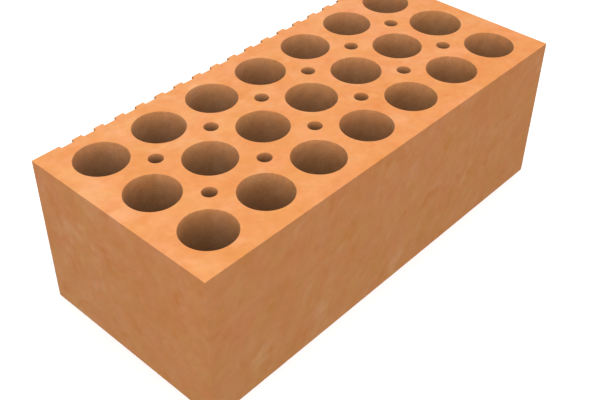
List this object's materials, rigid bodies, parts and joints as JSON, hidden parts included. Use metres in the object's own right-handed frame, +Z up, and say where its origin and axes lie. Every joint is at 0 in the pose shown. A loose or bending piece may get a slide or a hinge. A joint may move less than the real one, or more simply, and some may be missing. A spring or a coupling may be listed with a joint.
{
  "type": "perforated clay brick",
  "caption": "Rectangular fired-clay brick with rows of round through holes, smooth front and end faces, and a back face grooved as a key for mortar.",
  "frame": {"origin": "middle of the lower bed face, on the level floor that the brick lies on", "axes": "+X along the brick's length, +Y from the smooth front face to the grooved back face, +Z up through the holes to the upper bed face"},
  "size_m": [0.25, 0.114, 0.085],
  "materials": {
    "fired_clay": "matt unglazed fired clay, fine sandy grain"
  },
  "bodies": {
    "root": {"clay_brick": "fired_clay"}
  },
  "joints": []
}
